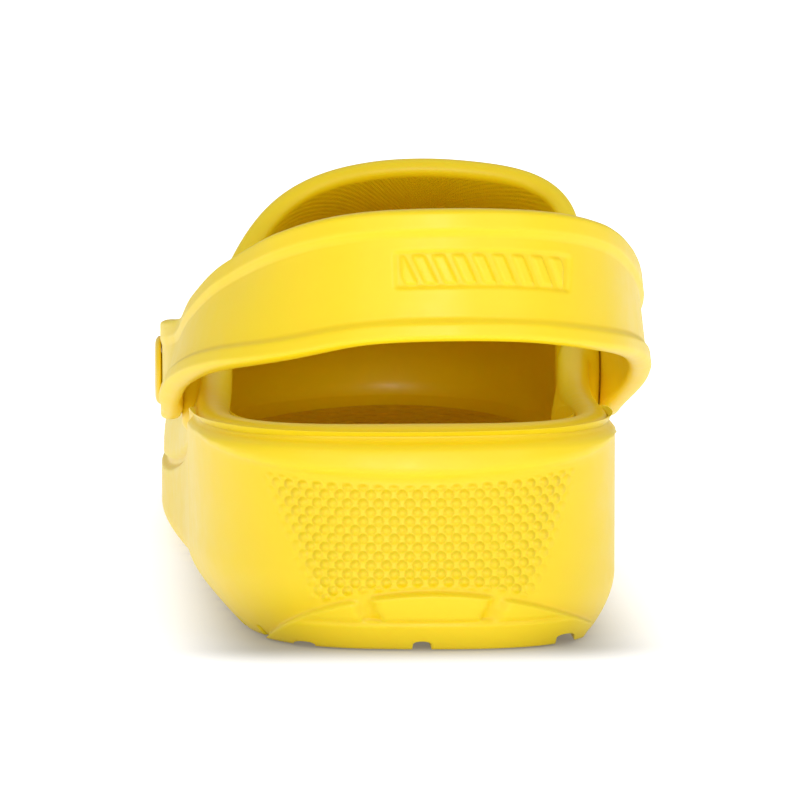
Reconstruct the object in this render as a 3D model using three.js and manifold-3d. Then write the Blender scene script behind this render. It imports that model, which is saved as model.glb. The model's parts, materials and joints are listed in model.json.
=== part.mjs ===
// Left rubber garden clog: one moulded foam body, a loose insole and a swinging heel strap on two rivets.
// Millimetres. +Z is up, +Y points to the toe, +X is the medial (big toe) side of a left clog.
// The origin is the middle of the bounding box, on the ground.
import * as THREE from 'three';
import { mergeVertices } from 'three/addons/utils/BufferGeometryUtils.js';
import Module from 'manifold-3d';

const wasm = await Module();
wasm.setup();

// ---- driving sizes -------------------------------------------------------------------------------
const TOTAL_LENGTH = 288;            // heel back to toe tip
const HEEL_WIDTH = 94;               // across the heel cup
const BALL_WIDTH = 110;              // across the ball of the foot
const VAMP_HEIGHT = 94;              // rim over the instep
const HEEL_RIM_HEIGHT = 48.3;        // top of the heel collar
const FIT = 0.3;                     // clearance between pieces that touch

// sole and footbed
const TOE_SPRING = 9;                // how far the toe tip lifts off the ground
const TOE_SPRING_START = 0.66;       // where the lift begins, as a share of the length
const HEEL_CURL = 15;                // height over which the heel edge draws in to the ground
const FORE_CURL = 8;
const HEEL_TUCK = 7;                 // how far the heel edge draws in, middle of both sides
const FORE_TUCK = 4.5;
const TUCK_SKEW = 2.2;               // more on the lateral side, less on the medial side
const HEEL_FLARE = 2.2;              // how far the lateral heel wall leans out toward the top
const FOOTBED_HEEL = 22;             // height of the cavity floor
const FOOTBED_BALL = 14.5;
const SIDE_WALL = 9;                 // wall from the outline to the foot space
const VAMP_WALL = 4.6;               // shell over the toes
const LIP_RISE = 2.4;                // height of the rounded rim
const HEEL_LIP_HALF = 3.6;           // half width of the collar lip
const VAMP_LIP_HALF = 2.3;           // half width of the vamp rim
const CREASE_DEPTH = 1.5;            // groove between sole and upper

// insole
const INSOLE_THICK = 4.5;
const INSOLE_MARGIN = 0.8;           // gap between insole edge and wall

// strap
const STRAP_HEIGHT = 28;
const STRAP_THICK = 4.2;
const BEAD_EXTRA = 0.8;              // how far the edge beads stand off the panel
const BEAD_HEIGHT = 5.5;
const LOBE_RADIUS = 11.5;            // rounded strap end
const ARM_HALF = 10;                 // half height of the arms, between the end and the back
const ARM_LEAN_MEDIAL = 0.12;        // how far the band leans out at its lower edge, as a slope
const ARM_LEAN_LATERAL = 0.32;
const BACK_LEAN = 0.1;

// pivots
const PIVOT_FROM_HEEL = 120;         // axis distance from the heel back
const PIVOT_HEIGHT = 48.5;
const PAD_RADIUS = 12.8;             // flat pad the strap end turns on
const PAD_MEDIAL = 48.6;             // face of the pad, from the centre plane
const PAD_LATERAL = 48;
const PAD_THICK = 5.2;
const POST_RADIUS = 4;
const CAP_RADIUS = 8;
const CAP_THICK = 1.4;
const BACKING_RADIUS = 7.5;
const BACKING_THICK = 2.4;

// vents
const VENT_LENGTH = 22;
const VENT_WIDTH = 6;
const VENT_PITCH = 21;               // spacing along the vamp
const VENT_FIRST = 198;              // first pair, from the heel back
const VENT_PAIRS = 3;
const VENT_ASIDE = 21;               // centre of a slot from the vamp ridge
const VENT_SLANT = 20;               // degrees
const VENT_MIDDLE = 8;               // the vamp ridge, from the centre plane

// tread
const GROOVE_WIDTH = 3.4;
const GROOVE_DEPTH = 2.6;
const GROOVE_PITCH = 15;
const GROOVE_FIRST = 26;             // first groove, from the heel back
const GROOVE_COUNT = 16;
const FLAT_GROOVE = 11;              // the groove left out, which leaves a flat block under the ball

// mesh density
const AROUND = 88;
const HEEL_Y = -TOTAL_LENGTH / 2;
const PIVOT_Y = HEEL_Y + PIVOT_FROM_HEEL;

// ---- stations round the clog ---------------------------------------------------------------------
// Heel back first, then medial side, toe and lateral side. Plan points are shares of the half width
// and of the length; rim points are given beside them.
const HEEL_HALF = HEEL_WIDTH / 2;
const BALL_HALF = BALL_WIDTH / 2;
// [plan x share, share of which half width (0 heel, 1 ball), y share, crease z, rim x inset, rim y, rim z]
const STATIONS = [
  [0, 0, 0.000, 45.8, 0.0, -138.6, 48.3],
  [0.44, 0, 0.008, 45.8, 1.6, -136.3, 48.1],
  [0.76, 0, 0.044, 45.7, 3.6, -127.2, 47.8],
  [0.945, 0, 0.110, 45.5, 4.9, -110.0, 47.4],
  [0.985, 0, 0.190, 44.8, 5.2, -89.0, 47.2],
  [0.985, 0, 0.274, 42.5, 5.2, -66.0, 47.3],
  [0.982, 0, 0.357, 36.5, 4.6, -47.0, 50.0],
  [0.988, 0, 0.441, 29.5, 3.5, -31.0, 58.8],
  [0.865, 1, 0.528, 23.5, 4.0, -17.0, 71.5],
  [0.905, 1, 0.618, 19.8, 5.8, -6.0, 82.2],
  [0.955, 1, 0.715, 19.2, 12.8, 2.0, 88.6],
  [0.985, 1, 0.812, 20.5, 22.4, 6.0, 91.9],
  [0.89, 1, 0.905, 22.5, 26.5, 7.8, 93.3],
  [0.58, 1, 0.974, 23.6, 16.9, 8.4, 93.9],
  [0.15, 1, 1.000, 24.0, -0.3, 8.6, 94.0],
  [-0.28, 1, 0.974, 23.8, -17.4, 8.4, 93.7],
  [-0.645, 1, 0.913, 23.0, -30.5, 7.6, 92.8],
  [-0.865, 1, 0.819, 21.3, -34.4, 5.8, 90.8],
  [-0.94, 1, 0.719, 19.6, -29.7, 2.0, 86.6],
  [-0.932, 1, 0.622, 20.0, -21.5, -5.0, 79.3],
  [-0.888, 1, 0.528, 23.5, -12.6, -16.0, 68.3],
  [-1, 0, 0.441, 29.5, -7.6, -29.0, 57.8],
  [-1, 0, 0.357, 36.5, -6.6, -46.0, 49.8],
  [-1.01, 0, 0.274, 42.5, -6.2, -65.0, 47.3],
  [-1.01, 0, 0.190, 44.8, -5.8, -88.5, 47.2],
  [-0.958, 0, 0.110, 45.5, -5.2, -110.0, 47.4],
  [-0.76, 0, 0.044, 45.7, -3.6, -127.2, 47.8],
  [-0.44, 0, 0.008, 45.8, -1.6, -136.3, 48.1],
];

// Distance of a station from the heel back: the heel keeps its own size, the pivots carry the waist
// with them and the forefoot takes up the rest of the length.
const NOMINAL_LENGTH = 288;
const NOMINAL_PIVOT = 120;
const HEEL_SHARE = 0.19;
const WAIST_SHARE = 0.441;
function stationDistance(along) {
  const heel = HEEL_SHARE * NOMINAL_LENGTH;
  const waist = WAIST_SHARE * NOMINAL_LENGTH + PIVOT_FROM_HEEL - NOMINAL_PIVOT;
  if (along <= HEEL_SHARE) return along * NOMINAL_LENGTH;
  if (along <= WAIST_SHARE) return heel + (waist - heel) * (along - HEEL_SHARE) / (WAIST_SHARE - HEEL_SHARE);
  return waist + (TOTAL_LENGTH - waist) * (along - WAIST_SHARE) / (1 - WAIST_SHARE);
}

function stationTable() {
  const rise = VAMP_HEIGHT - 94;
  const heelRise = HEEL_RIM_HEIGHT - 48.3;
  return STATIONS.map(([share, atBall, along, crease, inset, rimY, rimZ]) => {
    const x = share * (atBall ? BALL_HALF : HEEL_HALF);
    const vampShare = THREE.MathUtils.smoothstep(rimZ, 50, 90);
    return {
      x,
      y: HEEL_Y + stationDistance(along),
      crease: crease + heelRise * THREE.MathUtils.smoothstep(crease, 30, 44),
      rimX: x - inset,
      rimY: rimY + (NOMINAL_LENGTH - TOTAL_LENGTH) / 2
        + (PIVOT_FROM_HEEL - NOMINAL_PIVOT) * THREE.MathUtils.smoothstep(rimY, -110, -46),
      rimZ: rimZ + rise * vampShare + heelRise * (1 - vampShare),
      vamp: vampShare,
    };
  });
}

// A smooth closed curve through the station values: a uniform cubic B-spline whose control values
// are first pushed out by the amount that the B-spline would pull them in.
function closedSpline(values) {
  const n = values.length;
  const soft = (list, k) => (list[(k + n - 1) % n] + 4 * list[k] + list[(k + 1) % n]) / 6;
  const once = values.map((value, k) => 2 * value - soft(values, k));
  const control = once.map((value, k) => value + values[k] - soft(once, k));
  return (u) => {
    const t = (((u % 1) + 1) % 1) * n;
    const k = Math.floor(t) % n;
    const f = t - Math.floor(t);
    const [a, b, c, d] = [control[(k + n - 1) % n], control[k], control[(k + 1) % n], control[(k + 2) % n]];
    const g = 1 - f;
    return (a * g ** 3 + b * (3 * f ** 3 - 6 * f ** 2 + 4) + c * (3 * g ** 3 - 6 * g ** 2 + 4) + d * f ** 3) / 6;
  };
}

const TABLE = stationTable();
const curve = Object.fromEntries(Object.keys(TABLE[0]).map((key) => [key, closedSpline(TABLE.map((s) => s[key]))]));

const smooth = (value, low, high) => THREE.MathUtils.smoothstep(value, low, high);
const mix = THREE.MathUtils.lerp;

function groundLift(y) {
  const start = HEEL_Y + TOE_SPRING_START * TOTAL_LENGTH;
  const share = Math.max(0, (y - start) / (TOTAL_LENGTH / 2 - start));
  return TOE_SPRING * share * share;
}

function footbedHeight(y) {
  return mix(FOOTBED_HEEL, FOOTBED_BALL, smooth(y, -95, 45)) + groundLift(y) * 0.5;
}

// Plan outline point at u, moved outward by `out`.
function outline(u, out) {
  const step = 1e-3;
  const tangent = new THREE.Vector2(curve.x(u + step) - curve.x(u - step), curve.y(u + step) - curve.y(u - step));
  tangent.normalize();
  return new THREE.Vector2(curve.x(u) + tangent.y * out, curve.y(u) - tangent.x * out);
}

// The rim at u: its top point, the outward direction and the direction toward its free edge.
function rimFrame(u) {
  const at = (w) => new THREE.Vector3(curve.rimX(w), curve.rimY(w), curve.rimZ(w));
  const tangent = at(u + 2e-3).sub(at(u - 2e-3)).normalize();
  const vamp = THREE.MathUtils.clamp(curve.vamp(u), 0, 1);
  const edge = new THREE.Vector3(0, -0.93 * vamp, 1 - 0.6 * vamp);
  edge.addScaledVector(tangent, -edge.dot(tangent)).normalize();
  const out = tangent.clone().cross(edge).normalize();
  return { top: at(u), edge, out, half: mix(HEEL_LIP_HALF, VAMP_LIP_HALF, vamp), vamp };
}

function bezier(a, b, c, d, t) {
  const s = 1 - t;
  return a.clone().multiplyScalar(s ** 3).addScaledVector(b, 3 * s * s * t)
    .addScaledVector(c, 3 * s * t * t).addScaledVector(d, t ** 3);
}

// Upper shell at u: from just above the crease to the rim, `thick` inside the outer face.
function shellCurve(u, thick, t) {
  const foot = outline(u, -0.5 - thick);
  const start = new THREE.Vector3(foot.x, foot.y, curve.crease(u) + 1.2);
  const rim = rimFrame(u);
  const side = thick > 0 ? -1 : 1;
  const end = rim.top.clone().addScaledVector(rim.edge, -LIP_RISE).addScaledVector(rim.out, side * rim.half);
  const reach = start.distanceTo(end);
  const lift = mix(0.34, 0.3, rim.vamp) * reach - thick * 0.5 * rim.vamp;
  const up = new THREE.Vector3(0, 0, 1);
  const first = start.clone().addScaledVector(up, Math.max(lift, 0.3));
  const second = end.clone().addScaledVector(rim.edge, -0.42 * reach);
  return bezier(start, first, second, end, t);
}

// One rib of the body at u: the points from the underside, up the wall, over the rim and down inside.
function bodyRib(u) {
  const points = [];
  const put = (p, z) => points.push([p.x, p.y, z]);
  const y = curve.y(u);
  const ground = groundLift(y);
  const crease = curve.crease(u);
  const heel = 1 - smooth(y, -110, -20);
  const lateral = smooth(-curve.x(u), -40, 40);
  const curl = mix(FORE_CURL, HEEL_CURL + 1.4 * TUCK_SKEW * (lateral * 2 - 1), heel);
  const inset = mix(FORE_TUCK, HEEL_TUCK + TUCK_SKEW * (lateral * 2 - 1), heel);
  const flare = HEEL_FLARE * heel * smooth(-curve.x(u), 10, 45);
  for (let i = 0; i <= 4; i++) {
    const rise = i / 4;
    put(outline(u, -inset * (1 - rise) ** 1.8 - flare * (1 - rise * 0.2)), ground + curl * rise);
  }
  const top = crease - 1.6;
  for (let i = 1; i <= 4; i++) {
    const t = i / 4;
    const band = 0.5 * Math.sin(Math.PI * smooth(t, 0.7, 1)) * heel;
    put(outline(u, band - flare * 0.8 * (1 - t)), mix(ground + curl, top, t));
  }
  put(outline(u, -CREASE_DEPTH), crease - 0.3);
  put(outline(u, -CREASE_DEPTH), crease + 0.3);
  for (let i = 0; i <= 9; i++) points.push(shellCurve(u, 0, i / 9).toArray());
  const rim = rimFrame(u);
  for (let i = 1; i <= 4; i++) {
    const angle = (i / 5) * Math.PI;
    const centre = rim.top.clone().addScaledVector(rim.edge, -LIP_RISE);
    centre.addScaledVector(rim.out, rim.half * Math.cos(angle)).addScaledVector(rim.edge, LIP_RISE * Math.sin(angle));
    points.push(centre.toArray());
  }
  const thick = mix(SIDE_WALL - 0.5, VAMP_WALL, smooth(curve.rimZ(u), 50, 62));
  for (let i = 8; i >= 0; i--) points.push(shellCurve(u, thick, i / 8).toArray());
  const floor = footbedHeight(y);
  put(outline(u, -mix(thick + 0.5, SIDE_WALL, 0.7)), mix(floor, crease, 0.45));
  put(outline(u, -SIDE_WALL), floor + 3);
  put(outline(u, -SIDE_WALL - 3), floor);
  return points;
}

// ---- mesh helpers --------------------------------------------------------------------------------
function meshGeometry(points, triangles) {
  const geometry = new THREE.BufferGeometry();
  geometry.setAttribute('position', new THREE.Float32BufferAttribute(points.flat(), 3));
  geometry.setIndex(triangles);
  return mergeVertices(geometry, 1e-3);
}

// Closed skin over ribs that run round a ring; both ends are zipped across, rib i to rib n - i.
function ringSkin(ribs) {
  const n = ribs.length;
  const rows = ribs[0].length;
  const at = (i, j) => ((i + n) % n) * rows + j;
  const triangles = [];
  for (let i = 0; i < n; i++) {
    for (let j = 0; j < rows - 1; j++) {
      triangles.push(at(i, j), at(i + 1, j), at(i + 1, j + 1), at(i, j), at(i + 1, j + 1), at(i, j + 1));
    }
  }
  for (const [row, flip] of [[0, true], [rows - 1, false]]) {
    for (let i = 0; i < n / 2; i++) {
      const quad = [at(i, row), at(i + 1, row), at(n - i - 1, row), at(n - i, row)];
      const faces = [[quad[0], quad[1], quad[2]], [quad[0], quad[2], quad[3]]];
      for (const [a, b, c] of faces) {
        if (a === b || b === c || a === c) continue;
        triangles.push(...(flip ? [a, c, b] : [a, b, c]));
      }
    }
  }
  return meshGeometry(ribs.flat(), triangles);
}

function toSolid(geometry) {
  const clean = geometry.clone();
  clean.deleteAttribute('normal');
  clean.deleteAttribute('uv');
  const merged = mergeVertices(clean, 1e-3);
  return new wasm.Manifold(new wasm.Mesh({
    numProp: 3,
    vertProperties: new Float32Array(merged.attributes.position.array),
    triVerts: new Uint32Array(merged.index.array),
  }));
}

function fromSolid(solid) {
  const mesh = solid.getMesh();
  const geometry = new THREE.BufferGeometry();
  geometry.setAttribute('position', new THREE.BufferAttribute(new Float32Array(mesh.vertProperties), 3));
  geometry.setIndex(new THREE.BufferAttribute(new Uint32Array(mesh.triVerts), 1));
  return geometry;
}

function lathe(profile, segments) {
  return new THREE.LatheGeometry(profile.map(([r, h]) => new THREE.Vector2(r, h)), segments);
}

// A round bar along X between two places.
function barAlongX(radius, from, to, y, z, segments = 40) {
  const bar = new THREE.CylinderGeometry(radius, radius, Math.abs(to - from), segments);
  bar.rotateZ(Math.PI / 2);
  return bar.translate((from + to) / 2, y, z);
}

// ---- clog body -----------------------------------------------------------------------------------
function bodySkin() {
  const ribs = [];
  for (let i = 0; i < AROUND; i++) ribs.push(bodyRib(i / AROUND));
  return ringSkin(ribs);
}

function pivotPad(side, face) {
  const inner = side * (face - PAD_THICK);
  return toSolid(barAlongX(PAD_RADIUS, inner, side * face, PIVOT_Y, PIVOT_HEIGHT, 56));
}

function pivotRecess(side, face) {
  const inner = side * (face - PAD_THICK);
  return toSolid(barAlongX(PAD_RADIUS - 3, inner - side * 12, inner, PIVOT_Y, PIVOT_HEIGHT, 48));
}

function pivotBore(side) {
  return toSolid(barAlongX(POST_RADIUS + FIT, side * 30, side * 70, PIVOT_Y, PIVOT_HEIGHT, 36));
}

function ventCutter(side, index) {
  const shape = new THREE.Shape();
  const half = VENT_LENGTH / 2 - VENT_WIDTH / 2;
  shape.absarc(half, 0, VENT_WIDTH / 2, -Math.PI / 2, Math.PI / 2);
  shape.absarc(-half, 0, VENT_WIDTH / 2, Math.PI / 2, Math.PI * 1.5);
  const slot = new THREE.ExtrudeGeometry(shape, { depth: 44, bevelEnabled: false, curveSegments: 8 });
  slot.translate(0, 0, -22);
  slot.rotateZ(side * THREE.MathUtils.degToRad(-VENT_SLANT));
  slot.rotateX(THREE.MathUtils.degToRad(-24 - 6 * index));
  slot.rotateY(side * THREE.MathUtils.degToRad(32));
  const y = HEEL_Y + VENT_FIRST + index * VENT_PITCH;
  return toSolid(slot.translate(side * (VENT_ASIDE - index) + VENT_MIDDLE, y, 66 - index * 9));
}

function grooveCutter(index) {
  const y = HEEL_Y + GROOVE_FIRST + index * GROOVE_PITCH;
  const lift = groundLift(y);
  const cutter = new THREE.BoxGeometry(BALL_WIDTH * 1.4, GROOVE_WIDTH, GROOVE_DEPTH * 2);
  return toSolid(cutter.translate(0, y, lift));
}

function clogBody() {
  let solid = toSolid(bodySkin());
  for (const [side, face] of [[1, PAD_MEDIAL], [-1, PAD_LATERAL]]) {
    solid = solid.add(pivotPad(side, face));
    solid = solid.subtract(pivotRecess(side, face));
    solid = solid.subtract(pivotBore(side));
    for (let index = 0; index < VENT_PAIRS; index++) solid = solid.subtract(ventCutter(side, index));
  }
  for (let index = 0; index < GROOVE_COUNT; index++) {
    if (index !== FLAT_GROOVE) solid = solid.subtract(grooveCutter(index));
  }
  return fromSolid(solid);
}

// ---- insole --------------------------------------------------------------------------------------
function insole() {
  const ribs = [];
  for (let i = 0; i < 64; i++) {
    const u = i / 64;
    const base = footbedHeight(curve.y(u)) + FIT;
    const edge = -SIDE_WALL - INSOLE_MARGIN;
    const rib = [[-3.2, 0], [-0.6, 2.2], [0, INSOLE_THICK - 0.8], [-1.2, INSOLE_THICK]];
    ribs.push(rib.map(([out, z]) => {
      const p = outline(u, edge + out);
      return [p.x, p.y, base + z];
    }));
  }
  return ringSkin(ribs);
}

// ---- strap ---------------------------------------------------------------------------------------
// Middle line of the strap from the medial pivot, round the heel, to the lateral pivot: x of the outer
// face, share of the way from the pivot back to the heel, and height over the pivot.
const ARM_MEDIAL = PAD_MEDIAL + FIT + STRAP_THICK;
const ARM_LATERAL = PAD_LATERAL + FIT + STRAP_THICK;
const LOBE_SHARE = LOBE_RADIUS / PIVOT_FROM_HEEL;
const STRAP_ROUTE = [
  [ARM_MEDIAL, -LOBE_SHARE, 0],
  [ARM_MEDIAL, 0, 0],
  [ARM_MEDIAL, LOBE_SHARE * 1.1, 2.6],
  [ARM_MEDIAL + 1.2, 0.30, 8.8],
  [ARM_MEDIAL + 0.6, 0.50, 16.0],
  [ARM_MEDIAL - 4.0, 0.69, 22.8],
  [41.0, 0.85, 27.7],
  [27.5, 0.962, 30.9],
  [8.5, 1.01, 32.0],
  [-12.5, 0.985, 30.9],
  [-29.0, 0.875, 26.3],
  [-ARM_LATERAL + 10.8, 0.69, 20.1],
  [-ARM_LATERAL + 4.4, 0.50, 13.2],
  [-ARM_LATERAL + 2.0, 0.30, 6.4],
  [-ARM_LATERAL, LOBE_SHARE * 1.1, 1.6],
  [-ARM_LATERAL, 0, 0],
  [-ARM_LATERAL, -LOBE_SHARE, 0],
];

function strapRibs() {
  const route = new THREE.CatmullRomCurve3(STRAP_ROUTE.map(([x, share, rise]) => new THREE.Vector3(
    x, PIVOT_Y - share * PIVOT_FROM_HEEL, PIVOT_HEIGHT + rise)), false, 'centripetal');
  const count = 78;
  const ribs = [];
  for (let i = 0; i <= count; i++) {
    const t = i / count;
    const point = route.getPoint(t);
    const tangent = route.getTangent(t);
    const out = new THREE.Vector3(-tangent.y, tangent.x, 0).normalize();
    if (Math.abs(point.y - PIVOT_Y) <= LOBE_RADIUS + 0.5) out.set(Math.sign(point.x), 0, 0);
    const share = (PIVOT_Y - point.y) / PIVOT_FROM_HEEL;
    const armLean = mix(ARM_LEAN_LATERAL, ARM_LEAN_MEDIAL, smooth(point.x, -20, 20));
    const lean = mix(armLean, BACK_LEAN, smooth(share, 0.72, 0.98)) * smooth(share, 0.12, 0.32);
    const high = new THREE.Vector3().crossVectors(tangent, out).normalize();
    if (high.z < 0) high.negate();
    high.addScaledVector(out, -lean).normalize();
    const face = out.clone().addScaledVector(high, -out.dot(high)).normalize();
    const past = Math.max(0, point.y - PIVOT_Y) / LOBE_RADIUS;
    const back = smooth(share, 0.13, 0.88);
    const armHalf = mix(LOBE_RADIUS, ARM_HALF, smooth(share, 0.05, 0.3));
    const fullHalf = mix(armHalf, STRAP_HEIGHT / 2, smooth(share, 0.4, 0.95));
    const half = fullHalf * Math.sqrt(Math.max(0.02, 1 - past * past));
    const bead = BEAD_EXTRA * back;
    const edge = BEAD_HEIGHT / (2 * half) * 2;
    const section = [
      [-1, -STRAP_THICK + 0.8], [-1, -0.8], [-1 + edge * 0.3, bead], [-1 + edge, bead],
      [-1 + edge * 1.2, 0], [0, 0], [1 - edge * 1.2, 0], [1 - edge, bead], [1 - edge * 0.3, bead],
      [1, -0.8], [1, -STRAP_THICK + 0.8], [0.86, -STRAP_THICK], [0, -STRAP_THICK], [-0.86, -STRAP_THICK],
    ];
    ribs.push(section.map(([h, depth]) => {
      const p = point.clone().addScaledVector(high, h * half).addScaledVector(face, depth);
      return p.toArray();
    }));
  }
  return ribs;
}

function heelStrap() {
  const ribs = strapRibs();
  const n = ribs[0].length;
  const triangles = [];
  const at = (i, j) => i * n + (j % n);
  for (let i = 0; i < ribs.length - 1; i++) {
    for (let j = 0; j < n; j++) {
      triangles.push(at(i, j), at(i, j + 1), at(i + 1, j + 1), at(i, j), at(i + 1, j + 1), at(i + 1, j));
    }
  }
  for (let j = 1; j < n - 1; j++) {
    triangles.push(at(0, 0), at(0, j + 1), at(0, j));
    const last = ribs.length - 1;
    triangles.push(at(last, 0), at(last, j), at(last, j + 1));
  }
  let geometry = meshGeometry(ribs.flat(), triangles);
  let solid = toSolid(geometry);
  if (solid.volume() < 0) {
    geometry = meshGeometry(ribs.flat(), triangles.reverse());
    solid = toSolid(geometry);
  }
  for (const side of [1, -1]) solid = solid.subtract(pivotBore(side));
  return fromSolid(solid);
}

// ---- rivets --------------------------------------------------------------------------------------
// Cap with its post, revolved about the pivot axis; h runs outward from the strap face.
function rivetCap(side, face) {
  const strapFace = face + FIT + STRAP_THICK;
  const postEnd = -(FIT * 2 + STRAP_THICK + PAD_THICK + BACKING_THICK - 0.8);
  const profile = [[0, postEnd], [POST_RADIUS - 0.6, postEnd], [POST_RADIUS, postEnd + 0.6], [POST_RADIUS, FIT],
    [CAP_RADIUS - 0.3, FIT], [CAP_RADIUS, FIT + 0.4], [CAP_RADIUS - 0.9, FIT + CAP_THICK * 0.8],
    [CAP_RADIUS * 0.5, FIT + CAP_THICK], [0, FIT + CAP_THICK]];
  return placeOnAxis(lathe(profile, 36), side, strapFace);
}

function rivetBacking(side, face) {
  const inner = face - PAD_THICK - FIT;
  const socket = POST_RADIUS + FIT;
  const floor = -BACKING_THICK + 0.8 - FIT;
  const profile = [[0, -BACKING_THICK], [BACKING_RADIUS * 0.6, -BACKING_THICK], [BACKING_RADIUS, -BACKING_THICK * 0.45],
    [BACKING_RADIUS, -0.3], [BACKING_RADIUS - 0.3, 0], [socket, 0], [socket, floor], [0, floor]];
  return placeOnAxis(lathe(profile, 36), side, inner);
}

function placeOnAxis(geometry, side, x) {
  geometry.rotateZ(-side * Math.PI / 2);
  return geometry.translate(side * x, PIVOT_Y, PIVOT_HEIGHT);
}

// ---- assembly ------------------------------------------------------------------------------------
const FINISH = {
  yellow_eva: { color: 0xf6dc2a, roughness: 0.55, metalness: 0 },
  rivet_yellow: { color: 0xf2cf1e, roughness: 0.45, metalness: 0 },
  rivet_backing_dark: { color: 0x1f1d1a, roughness: 0.5, metalness: 0 },
  insole_eva: { color: 0xeccb24, roughness: 0.7, metalness: 0 },
};

const group = new THREE.Group();
group.name = 'garden_clog';

function place(name, geometry, finish) {
  geometry.computeVertexNormals();
  const mesh = new THREE.Mesh(geometry, new THREE.MeshStandardMaterial(FINISH[finish]));
  mesh.name = name;
  group.add(mesh);
}

// Moves every piece so that the middle of the bounding box is over the origin and the sole is on z = 0.
function centreOnGround() {
  const box = new THREE.Box3().setFromObject(group, true);
  const middle = box.getCenter(new THREE.Vector3());
  for (const mesh of group.children) mesh.geometry.translate(-middle.x, -middle.y, -box.min.z);
}

place('clog_body', clogBody(), 'yellow_eva');
place('insole', insole(), 'insole_eva');
place('heel_strap', heelStrap(), 'yellow_eva');
place('rivet_cap_medial', rivetCap(1, PAD_MEDIAL), 'rivet_yellow');
place('rivet_cap_lateral', rivetCap(-1, PAD_LATERAL), 'rivet_yellow');
place('rivet_backing_medial', rivetBacking(1, PAD_MEDIAL), 'rivet_backing_dark');
place('rivet_backing_lateral', rivetBacking(-1, PAD_LATERAL), 'rivet_backing_dark');
centreOnGround();

export default group;
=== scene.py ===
"""Left garden clog of yellow moulded foam: body, loose insole, swinging heel strap and its two rivets.

The body, the strap and the insole are smooth surfaces worked out from a few outlines; shapes are
computed in millimetres in the clog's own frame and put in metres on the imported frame.
"""
import json
import math

import bpy
import numpy as np
from mathutils import Matrix, Vector


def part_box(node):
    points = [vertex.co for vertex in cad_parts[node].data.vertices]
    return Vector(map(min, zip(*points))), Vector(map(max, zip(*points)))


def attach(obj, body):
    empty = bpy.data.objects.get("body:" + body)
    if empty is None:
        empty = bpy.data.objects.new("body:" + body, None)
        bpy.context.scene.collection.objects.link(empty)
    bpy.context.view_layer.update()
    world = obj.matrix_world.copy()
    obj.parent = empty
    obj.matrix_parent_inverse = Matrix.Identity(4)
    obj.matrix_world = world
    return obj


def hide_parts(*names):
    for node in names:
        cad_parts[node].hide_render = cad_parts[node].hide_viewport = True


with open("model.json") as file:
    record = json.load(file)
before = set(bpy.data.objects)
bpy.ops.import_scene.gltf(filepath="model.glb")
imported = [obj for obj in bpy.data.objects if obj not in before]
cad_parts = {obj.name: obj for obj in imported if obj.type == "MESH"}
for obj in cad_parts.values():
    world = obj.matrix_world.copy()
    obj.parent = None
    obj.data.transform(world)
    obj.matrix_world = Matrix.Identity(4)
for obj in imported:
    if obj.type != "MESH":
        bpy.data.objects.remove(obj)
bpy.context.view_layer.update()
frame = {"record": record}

MM = 0.001

# ---- sizes, in millimetres ------------------------------------------------------------------------
TOTAL_LENGTH = 288.0
HEEL_HALF = 47.0
BALL_HALF = 55.0
TOE_SPRING = 9.0
TOE_SPRING_START = 0.66
HEEL_CURL = 15.0
FORE_CURL = 8.0
HEEL_TUCK = 7.0
FORE_TUCK = 4.5
TUCK_SKEW = 2.2
HEEL_FLARE = 2.2
FOOTBED_HEEL = 22.0
FOOTBED_BALL = 14.5
SIDE_WALL = 9.0
VAMP_WALL = 4.6
LIP_RISE = 2.4
HEEL_LIP_HALF = 3.6
VAMP_LIP_HALF = 2.3
CREASE_DEPTH = 1.5
INSOLE_MARGIN = 0.8
STRAP_HEIGHT = 28.0
STRAP_THICK = 4.2
LOBE_RADIUS = 11.5
ARM_HALF = 10.0
ARM_LEAN_MEDIAL = 0.12
ARM_LEAN_LATERAL = 0.32
BACK_LEAN = 0.1
FIT = 0.3
PAD_RADIUS = 12.8
PAD_THICK = 5.2
PAD_MEDIAL = 48.6
PAD_LATERAL = 48.0
POST_RADIUS = 4.0
CAP_RADIUS = 8.0
CAP_THICK = 1.4
BACKING_RADIUS = 7.5
BACKING_THICK = 2.4
VENT_LENGTH = 22.0
VENT_WIDTH = 6.0
VENT_PITCH = 21.0
VENT_FIRST = 198.0
VENT_PAIRS = 3
VENT_ASIDE = 21.0
VENT_SLANT = 20.0
VENT_MIDDLE = 8.0
GROOVE_WIDTH = 3.4
GROOVE_DEPTH = 2.6
GROOVE_PITCH = 15.0
GROOVE_FIRST = 26.0
GROOVE_COUNT = 16
FLAT_GROOVE = 11
HEEL_Y = -TOTAL_LENGTH / 2
PIVOT_Y = HEEL_Y + 120.0
PIVOT_Z = 48.5

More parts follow.
